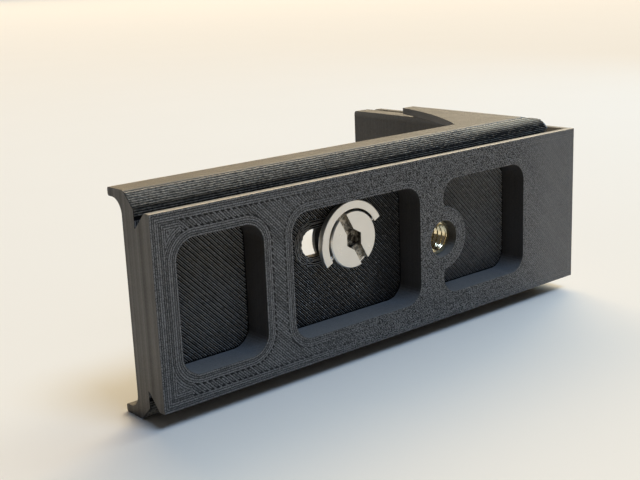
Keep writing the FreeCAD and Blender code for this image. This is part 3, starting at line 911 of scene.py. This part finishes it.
@dataclass
class PocketStrands:
    """Bare strands that bridge the floor of a pocket at 45 degrees in pairs, and loops round the slot."""

    floor: float = -28.9 * MM
    pitch: float = 0.4 * MM
    pair_shift: float = 0.03 * MM
    jitter: float = 0.02 * MM
    half_width: float = 0.115 * MM
    height: float = 0.24 * MM
    low_share: float = 0.66
    wall_gap: float = 0.25 * MM
    sample: float = 0.15 * MM
    profile_steps: int = 5
    slot_ends: tuple[float, float] = (-19.0 * MM, SCREW_AXIS[0])
    slot_height: float = 26.75 * MM
    slot_radius: float = 3.0 * MM
    loops: int = 5
    wobble: float = 0.16 * MM
    first_loop: float = 0.45
    loop_overlap: float = 0.4
    loop_step: int = 6
    thinning: int = 4
    end_share: float = 0.3
    strand_sizes: tuple[float, float] = (0.9, 1.08)
    width_shares: tuple[float, float] = (0.96, 1.04)

    def slot_distance(self, x: float, z: float) -> float:
        """Measure how far a point lies outside the screw slot.

        Args:
            x: Place along the base.
            z: Height.

        Returns:
            Distance to the slot's edge, below 0 inside it.
        """
        nearest = min(max(x, self.slot_ends[0]), self.slot_ends[1])
        return math.hypot(x - nearest, z - self.slot_height) - self.slot_radius

    def covered(self, pocket: Recess, x: float, z: float) -> bool:
        """Tell whether a strand may cover a point.

        Args:
            pocket: Pocket that the strand lies in.
            x: Place along the base.
            z: Height.

        Returns:
            True where the floor is free.
        """
        if pocket.distance(x, z) > -self.wall_gap:
            return False
        looped = (self.loops - self.loop_overlap) * self.pitch
        if pocket is SCREW_POCKET and self.slot_distance(x, z) < looped:
            return False
        boss = math.hypot(x - BOSS_CENTRE[0], z - BOSS_CENTRE[1])
        return pocket is not INSERT_POCKET or boss > BOSS_RADIUS + self.wall_gap

    def lay(self, maker: MeshMaker, path: list[Vector], luck: random.Random, share: float = 1.0) -> None:
        """Lay one strand along a path on the floor.

        Args:
            maker: Mesh to add the strand to.
            path: Points of the strand, in order.
            luck: Source of small differences.
            share: Size of this strand against the full size.
        """
        out = Vector((0.0, -1.0, 0.0))
        size = luck.uniform(*self.strand_sizes) * share
        rows = []
        for index, spot in enumerate(path):
            ahead = (path[min(index + 1, len(path) - 1)] - path[max(index - 1, 0)]).normalized()
            across = ahead.cross(out).normalized()
            end = self.end_share if index in (0, len(path) - 1) else 1.0
            width = self.half_width * size * luck.uniform(*self.width_shares) * (0.5 + 0.5 * end)
            rows.append(bead_row(spot, across, out, width, self.height * size * end, self.profile_steps))
        maker.strip(rows)

    def fill(self, maker: MeshMaker, pocket: Recess, luck: random.Random) -> None:
        """Fill the floor of one pocket.

        Args:
            maker: Mesh to add the strands to.
            pocket: Pocket to fill.
            luck: Source of small differences.
        """
        middle = Vector(((pocket.left + pocket.right) / 2, self.floor, (pocket.low + pocket.high) / 2))
        along = Vector((1.0, 0.0, -1.0)).normalized()
        across = Vector((1.0, 0.0, 1.0)).normalized()
        reach = math.hypot(pocket.right - pocket.left, pocket.high - pocket.low) / 2
        count = int(reach / self.pitch)
        steps = int(2 * reach / self.sample)
        for number in range(-count, count + 1):
            shift = self.pair_shift if number % 2 else -self.pair_shift
            place = number * self.pitch + shift + luck.uniform(-self.jitter, self.jitter)
            start = middle + across * place - along * reach
            run: list[Vector] = []
            for step in range(steps + 1):
                spot = start + along * (step * self.sample)
                if step < steps and self.covered(pocket, spot.x, spot.z):
                    run.append(spot)
                    continue
                if len(run) > self.thinning:
                    path = run[:: self.thinning] + [run[-1]]
                    self.lay(maker, path, luck, self.low_share if number % 2 else 1.0)
                run = []

    def ring_slot(self, maker: MeshMaker, luck: random.Random) -> None:
        """Lay closed loops round the screw slot.

        Args:
            maker: Mesh to add the loops to.
            luck: Source of small differences.
        """
        for loop in range(self.loops):
            path = []
            for centre, first in ((self.slot_ends[1], -90), (self.slot_ends[0], 90)):
                for angle in range(first, first + 181, self.loop_step):
                    turn = math.radians(angle)
                    radius = self.slot_radius + (loop + self.first_loop) * self.pitch
                    radius += luck.uniform(-0.5, 0.5) * self.wobble
                    x = centre + radius * math.cos(turn)
                    path.append(Vector((x, self.floor, self.slot_height + radius * math.sin(turn))))
            self.lay(maker, path + [path[0]], luck)

    def build(self, name: str, pocket: Recess | None, material: bpy.types.Material) -> bpy.types.Object:
        """Make the strands of one pocket, or the loops round the screw slot.

        Args:
            name: Name of the strands.
            pocket: Pocket that they bridge, or None for the loops.
            material: Finish of the strands.

        Returns:
            The strands as one object.
        """
        luck = random.Random(name)
        maker = MeshMaker()
        if pocket is None:
            self.ring_slot(maker, luck)
        else:
            self.fill(maker, pocket, luck)
        piece = maker.build(name, material)
        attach(piece, "bracket")
        LOG.info("made %s", name)
        return piece


@dataclass
class FlareSteps:
    """Layer ends that step out along the flare of the base's lips, and lines on the groove's wall below."""

    start_y: float = -30.2 * MM
    layers: int = 8
    left: float = -61.45 * MM
    right: float = 57.2 * MM
    crest_end: float = 51.4 * MM
    lip_end: float = 57.8 * MM
    lip_side: float = 1.75 * MM
    run_step: float = 0.5 * MM
    waver: float = 0.07 * MM
    droop: float = 0.1 * MM
    skirt: float = 0.1 * MM
    crease: float = 0.04 * MM
    rounding: float = 0.05 * MM
    set_back: float = 0.06 * MM
    sag: float = 0.01 * MM
    wall_lines: int = 3
    wall_pitch: float = 0.44 * MM
    wall_half: float = 0.15 * MM
    wall_height: tuple[float, float] = (0.11 * MM, 0.15 * MM)
    first_line: float = 0.55
    profile_steps: int = 4
    waver_shares: tuple[float, float] = (-1.0, 0.3)
    droop_shares: tuple[float, float] = (0.6, 1.2)
    foot_share: float = 0.2
    shoulder_share: float = 0.4
    seed: int = 11

    def section(self, luck: random.Random) -> list[tuple[float, float]]:
        """Give the stairs across the flare at one place along the base.

        Args:
            luck: Source of small differences.

        Returns:
            Pairs of place behind the flare's start and height above it.
        """
        pairs = [(0.0, -self.skirt)]
        for number in range(self.layers):
            back = number * LAYER
            rise = back + LAYER + luck.uniform(*self.waver_shares) * self.waver
            drop = self.droop * luck.uniform(*self.droop_shares)
            pairs.append((back - drop * self.foot_share, back + self.crease))
            pairs.append((back - drop, back + LAYER / 2))
            pairs.append((back - drop * self.shoulder_share, rise - self.rounding))
            pairs.append((back + self.set_back, rise))
            pairs.append((back + LAYER - self.rounding, rise - self.sag))
        return pairs

    def limit(self, x: float) -> float:
        """Give the height of the flare, which drops at the corner of the lip.

        Args:
            x: Place along the base.

        Returns:
            The height above the flare's start.
        """
        share = min(max((x - self.crest_end) / (self.lip_end - self.crest_end), 0.0), 1.0)
        full = self.layers * LAYER
        return full + (self.lip_side - full) * share ** 2

    def lines(self, maker: MeshMaker, side: Side, luck: random.Random) -> None:
        """Lay straight lines on the wall of the groove.

        Args:
            maker: Mesh to add the lines to.
            side: Upper or lower lip.
            luck: Source of small differences.
        """
        out = Vector((0.0, -1.0, 0.0))
        across = Vector((0.0, 0.0, 1.0))
        spots = int((self.right - self.left) / self.run_step)
        for number in range(self.wall_lines):
            height = FLARE_START - (number + self.first_line) * self.wall_pitch
            rows = []
            for index in range(spots + 1):
                x = self.left + (self.right - self.left) * index / spots
                centre = Vector((x, self.start_y, MIDDLE + side.value * height))
                rise = luck.uniform(*self.wall_height)
                rows.append(bead_row(centre, across, out, self.wall_half, rise, self.profile_steps))
            maker.strip(rows)

    def build(self, side: Side, material: bpy.types.Material) -> bpy.types.Object:
        """Make the steps of one lip.

        Args:
            side: Upper or lower lip.
            material: Finish of the steps.

        Returns:
            The steps as one object.
        """
        luck = random.Random(self.seed + side.value)
        maker = MeshMaker()
        spots = int((self.right - self.left) / self.run_step)
        rows = []
        for index in range(spots + 1):
            x = self.left + (self.right - self.left) * index / spots
            limit = self.limit(x)
            row = []
            for back, rise in self.section(luck):
                over = max(0.0, rise - limit)
                height = FLARE_START + rise - over
                row.append((x, self.start_y + back - over, MIDDLE + side.value * height))
            rows.append(row)
        maker.strip(rows)
        self.lines(maker, side, luck)
        piece = maker.build(f"flare_steps_{side.name.lower()}", material)
        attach(piece, "bracket")
        LOG.info("made %s", piece.name)
        return piece


@dataclass
class PressedRim:
    """The first layers along the long edges of the outer face, pressed slightly proud of the edge."""

    depth: float = 1.66 * MM
    height: float = 0.09 * MM
    left: float = -61.45 * MM
    right: float = 61.4 * MM
    spots: int = 160
    profile_steps: int = 6
    height_shares: tuple[float, float] = (0.8, 1.1)
    seed: int = 31

    def build(self, side: Side, material: bpy.types.Material) -> bpy.types.Object:
        """Make the rim of one edge.

        Args:
            side: Upper or lower edge.
            material: Finish of the rim.

        Returns:
            The rim as one object.
        """
        luck = random.Random(self.seed + side.value)
        maker = MeshMaker()
        out = Vector((0.0, 0.0, side.value))
        across = Vector((0.0, 1.0, 0.0))
        rows = []
        for index in range(self.spots + 1):
            x = self.left + (self.right - self.left) * index / self.spots
            centre = Vector((x, OUTER_FACE + self.depth / 2, MIDDLE + side.value * DOVETAIL_HALF))
            height = self.height * luck.uniform(*self.height_shares)
            rows.append(bead_row(centre, across, out, self.depth / 2, height, self.profile_steps))
        maker.strip(rows)
        piece = maker.build(f"pressed_rim_{side.name.lower()}", material)
        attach(piece, "bracket")
        LOG.info("made %s", piece.name)
        return piece


@dataclass
class PrintedBracket:
    """The printed bracket with its layer lines, pocket strands, slot loops, flare steps and pressed rims."""

    plastic: PrintedPlastic = PrintedPlastic()
    strand: StrandPlastic = StrandPlastic()
    step: StepPlastic = StepPlastic()
    # The rims' pale tan colour is a painted highlight along the long edges of the outer face
    rim: StrandPlastic = StrandPlastic(
        "painted_highlight_rim_plastic", light=(0.265, 0.24, 0.212, 1.0), painted_glints=0.1, roughness=0.36
    )
    loop: StrandPlastic = StrandPlastic(
        "loop_plastic", light=(0.34, 0.335, 0.33, 1.0), painted_glints=0.6, roughness=0.2
    )
    # Its strands get painted shade towards the leg and many painted glints
    lively: StrandPlastic = StrandPlastic(
        "lively_strand_plastic", light=(0.25, 0.246, 0.242, 1.0), painted_glints=0.95, roughness=0.22, pocket_shade_share=0.6
    )
    thin_strand: float = 0.074 * MM
    thin_low_share: float = 0.55
    loop_half: float = 0.085 * MM
    loop_wobble: float = 0.24 * MM

    def build(self) -> None:
        """Dress the solid and add the print's own relief."""
        dress("bracket", self.plastic.build())
        strand = self.strand.build()
        PocketStrands().build("end_pocket_strands", END_POCKET, strand)
        thin = PocketStrands(half_width=self.thin_strand, low_share=self.thin_low_share)
        thin.build("screw_pocket_strands", SCREW_POCKET, self.lively.build())
        loops = PocketStrands(half_width=self.loop_half, wobble=self.loop_wobble)
        loops.build("slot_loops", None, self.loop.build())
        PocketStrands().build("insert_pocket_strands", INSERT_POCKET, strand)
        step = self.step.build()
        rim = self.rim.build()
        for side in Side:
            FlareSteps().build(side, step)
            PressedRim().build(side, rim)


@dataclass
class Helix:
    """One straight thread, as a wall whose radius swings between root and crest along a helix."""

    axis_x: float
    axis_z: float
    start: float
    end: float
    crest: float
    root: float
    pitch: float = 1.27 * MM
    turns_steps: int = 72
    rows_per_pitch: int = 14
    flat: float = 0.12

    def radius(self, y: float, turn: float) -> float:
        """Give the thread's radius at one place.

        Args:
            y: Place along the axis.
            turn: Share of a full turn.

        Returns:
            The radius of the wall.
        """
        phase = (y / self.pitch - turn) % 1.0
        ramp = abs(2.0 * phase - 1.0)
        share = min(max((ramp - self.flat) / (1.0 - 2.0 * self.flat), 0.0), 1.0)
        return self.crest + (self.root - self.crest) * share

    def spot(self, radius: float, y: float, turn: float) -> Point:
        """Give a point at a radius, a place along the axis and a share of a turn."""
        angle = 2.0 * math.pi * turn
        return (self.axis_x + radius * math.cos(angle), y, self.axis_z + radius * math.sin(angle))

    def ring(self, radius: float, y: float) -> list[Point]:
        """Give a plain ring of points."""
        return [self.spot(radius, y, step / self.turns_steps) for step in range(self.turns_steps)]

    def places(self) -> list[float]:
        """List the places of the rows along the axis.

        Returns:
            The places from start to end.
        """
        count = max(2, int((self.end - self.start) / self.pitch * self.rows_per_pitch))
        return [self.start + (self.end - self.start) * index / count for index in range(count + 1)]


@dataclass
class TripodInsert:
    """The brass insert with a real thread in its bore."""

    brass: BrightBrass = BrightBrass()
    front: float = -33.4 * MM
    back: float = -27.0 * MM
    outer: float = 4.1 * MM
    waist: float = 3.6 * MM
    waist_start: float = -30.8 * MM
    waist_end: float = -29.6 * MM
    mouth: float = 3.1 * MM
    crest: float = 2.6 * MM
    root: float = 3.15 * MM
    bevel: float = 0.3 * MM
    bevel_in: float = 0.2 * MM

    def build(self) -> None:
        """Make the insert in place of its plain solid."""
        helix = Helix(*BOSS_CENTRE, self.front, self.back, self.crest, self.root)
        maker = MeshMaker()
        rows = []
        for y in helix.places():
            flare = max(self.mouth - (y - self.front), self.mouth - (self.back - y))
            row = []
            for step in range(helix.turns_steps):
                turn = step / helix.turns_steps
                row.append(helix.spot(max(helix.radius(y, turn), flare), y, turn))
            rows.append(row)
        for radius, y in (
            (self.outer, self.back),
            (self.outer, self.waist_end),
            (self.waist, self.waist_end),
            (self.waist, self.waist_start),
            (self.outer, self.waist_start),
            (self.outer, self.front + self.bevel),
            (self.outer - self.bevel_in, self.front),
        ):
            rows.append(helix.ring(radius, y))
        maker.strip(rows + [rows[0]], closed=True)
        piece = maker.build("threaded_insert", self.brass.build())
        sharpen(piece)
        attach(piece, "bracket")
        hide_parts("tripod_insert")
        LOG.info("made threaded_insert")


def sharpen(piece: bpy.types.Object, angle: float = 38.0, weld: float = 1e-7) -> None:
    """Keep the hard edges of a smooth-shaded piece.

    Args:
        piece: Object whose edges are marked sharp where its faces meet steeply.
        angle: Angle between two faces, in degrees, from which their edge is sharp.
        weld: Distance below which points become one.
    """
    shape = bmesh.new()
    shape.from_mesh(piece.data)
    bmesh.ops.remove_doubles(shape, verts=shape.verts, dist=weld)
    bmesh.ops.recalc_face_normals(shape, faces=shape.faces)
    for edge in shape.edges:
        edge.smooth = len(edge.link_faces) == 2 and edge.calc_face_angle(0.0) < math.radians(angle)
    shape.to_mesh(piece.data)
    shape.free()


@dataclass
class CameraScrew:
    """The camera screw: its solid head and neck, and a real thread on its end."""

    steel: SatinSteel = SatinSteel()
    neck_end: float = -26.0 * MM
    thread_end: float = -22.1 * MM
    chamfer: float = 0.6 * MM
    crest: float = 3.17 * MM
    root: float = 2.58 * MM
    core: float = 2.55 * MM
    end_radius: float = 1.2 * MM
    centre_radius: float = 0.05 * MM
    tolerance: float = 0.001 * MM

    def head_and_neck(self, maker: MeshMaker) -> None:
        """Copy the faces of the solid up to the end of the neck.

        Args:
            maker: Mesh to add the faces to.
        """
        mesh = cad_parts["camera_screw"].data
        limit = self.neck_end - self.tolerance
        base = len(maker.points)
        maker.points.extend(tuple(vertex.co) for vertex in mesh.vertices)
        for face in mesh.polygons:
            if min(mesh.vertices[index].co.y for index in face.vertices) < limit:
                maker.faces.append(tuple(base + index for index in face.vertices))

    def threaded_end(self, maker: MeshMaker) -> None:
        """Add the thread, its run-out and the end face.

        Args:
            maker: Mesh to add the faces to.
        """
        helix = Helix(*SCREW_AXIS, self.neck_end, self.thread_end, self.crest, self.root)
        rows = []
        for y in helix.places():
            limit = self.crest - max(0.0, y - (self.thread_end - self.chamfer))
            limit = min(limit, self.core + (y - self.neck_end))
            row = []
            for step in range(helix.turns_steps):
                turn = step / helix.turns_steps
                row.append(helix.spot(min(helix.radius(y, turn), limit), y, turn))
            rows.append(row)
        rows.append(helix.ring(self.end_radius, self.thread_end))
        rows.append(helix.ring(self.centre_radius, self.thread_end))
        maker.strip(rows, closed=True)

    def build(self) -> None:
        """Make the screw in place of its plain solid."""
        maker = MeshMaker()
        self.head_and_neck(maker)
        self.threaded_end(maker)
        piece = maker.build("threaded_screw", self.steel.build())
        sharpen(piece)
        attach(piece, "screw")
        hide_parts("camera_screw")
        LOG.info("made threaded_screw")


@dataclass
class FoldingRing:
    """The folding ring of the screw."""

    # A face at 0 lies behind the whole ring, so the ring gets no socket
    steel: SatinSteel = SatinSteel(name="ring_steel", face=0.0)

    def build(self) -> None:
        """Dress the solid."""
        dress("folding_ring", self.steel.build())


@dataclass
class RetainingWasher:
    """The washer that keeps the screw in its slot."""

    nylon: GreyNylon = GreyNylon()

    def build(self) -> None:
        """Dress the solid."""
        dress("retaining_washer", self.nylon.build())


def direction(bearing: float, rise: float = 0.0) -> Vector:
    """Give the direction from the object to something round it.

    Args:
        bearing: Angle from X towards Y, in degrees.
        rise: Angle above the table, in degrees.

    Returns:
        The direction, of length 1.
    """
    turn = math.radians(bearing)
    lift = math.radians(rise)
    return Vector((math.cos(lift) * math.cos(turn), math.cos(lift) * math.sin(turn), math.sin(lift)))


@dataclass(frozen=True)
class SoftBox:
    """An upright light panel that faces the object."""

    name: str
    bearing: float
    distance: float
    low: float
    high: float
    width: float
    radiance: float
    colour: tuple[float, float, float]

    def build(self) -> None:
        """Make the panel."""
        lamp = bpy.data.lights.new(self.name, "AREA")
        lamp.shape = "RECTANGLE"
        lamp.size = self.width
        lamp.size_y = self.high - self.low
        lamp.energy = self.radiance * math.pi * self.width * (self.high - self.low)
        lamp.color = self.colour
        panel = bpy.data.objects.new(self.name, lamp)
        outward = direction(self.bearing)
        panel.location = outward * self.distance + Vector((0.0, 0.0, (self.low + self.high) / 2))
        panel.rotation_mode = "QUATERNION"
        panel.rotation_quaternion = outward.to_track_quat("Z", "Y")
        bpy.context.scene.collection.objects.link(panel)


@dataclass(frozen=True)
class WideLamp:
    """A far, wide lamp whose light falls evenly from one side."""

    name: str
    bearing: float
    rise: float
    strength: float
    colour: tuple[float, float, float]
    spread: float = 50.0

    def build(self) -> None:
        """Make the lamp."""
        lamp = bpy.data.lights.new(self.name, "SUN")
        lamp.energy = self.strength
        lamp.color = self.colour
        lamp.angle = math.radians(self.spread)
        thing = bpy.data.objects.new(self.name, lamp)
        thing.rotation_mode = "QUATERNION"
        thing.rotation_quaternion = direction(self.bearing, self.rise).to_track_quat("Z", "Y")
        bpy.context.scene.collection.objects.link(thing)


@dataclass
class Studio:
    """Pale table, soft light from behind and the camera at the photo's view."""

    table: PaleTable = PaleTable()
    reach: float = 14.0
    eye: Point = (-154.266 * MM, -193.007 * MM, 81.897 * MM)
    bearing: float = -129.9326
    rise: float = 14.3817
    roll: float = -2.3607
    lens: float = 59.05
    sensor: float = 36.0
    clip: tuple[float, float] = (0.01, 60.0)
    sky: Colour = (1.0, 0.97, 0.95, 1.0)
    sky_strength: float = 0.07
    boxes: tuple[SoftBox, ...] = (
        SoftBox("warm_window", 50.0, 6.0, 3.0, 7.0, 8.0, 5.7, (1.0, 0.755, 0.435)),
        SoftBox("cool_card", -5.0, 0.62, 0.22, 0.6, 0.5, 2.1, (0.2, 0.58, 1.0)),
    )
    lamps: tuple[WideLamp, ...] = (
        WideLamp("white_lamp", 17.0, 38.0, 1.32, (1.0, 0.985, 0.82)),
        WideLamp("cool_lamp", -75.0, 63.0, 1.37, (0.5, 0.7, 1.0), 24.0),
        WideLamp("side_lamp", -25.0, 58.0, 0.3, (1.0, 0.86, 0.6), 24.0),
    )

    def floor(self) -> None:
        """Make the table top."""
        mesh = bpy.data.meshes.new("table_top")
        half = self.reach
        corners = [(-half, -half, 0.0), (half, -half, 0.0), (half, half, 0.0), (-half, half, 0.0)]
        mesh.from_pydata(corners, [], [(0, 1, 2, 3)])
        mesh.materials.append(self.table.build())
        top = bpy.data.objects.new("table_top", mesh)
        bpy.context.scene.collection.objects.link(top)

    def light(self) -> None:
        """Make the soft boxes and the light of the room."""
        for source in (*self.boxes, *self.lamps):
            source.build()
        world = bpy.data.worlds.new("room")
        world.use_nodes = True
        room = world.node_tree.nodes["Background"]
        room.inputs["Color"].default_value = self.sky
        room.inputs["Strength"].default_value = self.sky_strength
        bpy.context.scene.world = world

    def camera(self) -> None:
        """Place the camera where the photo was taken from."""
        data = bpy.data.cameras.new("photo_view")
        data.lens = self.lens
        data.sensor_width = self.sensor
        data.clip_start, data.clip_end = self.clip
        camera = bpy.data.objects.new("photo_view", data)
        level = direction(self.bearing, self.rise).to_track_quat("Z", "Y")
        turn = level @ Quaternion((0.0, 0.0, 1.0), math.radians(self.roll))
        camera.matrix_world = Matrix.LocRotScale(Vector(self.eye), turn, None)
        bpy.context.scene.collection.objects.link(camera)
        bpy.context.scene.camera = camera

    def build(self) -> None:
        """Make table, light and camera."""
        self.floor()
        self.light()
        self.camera()
        bpy.context.scene.view_settings.view_transform = "Standard"
        LOG.info("made the studio")


def main() -> None:
    """Build the object piece by piece, then the studio round it."""
    logging.basicConfig(level=logging.INFO, format="%(name)s: %(message)s")
    pieces = (PrintedBracket(), TripodInsert(), CameraScrew(), FoldingRing(), RetainingWasher(), Studio())
    for piece in pieces:
        LOG.info("building %s", type(piece).__name__)
        piece.build()


if __name__ == "__main__":
    main()
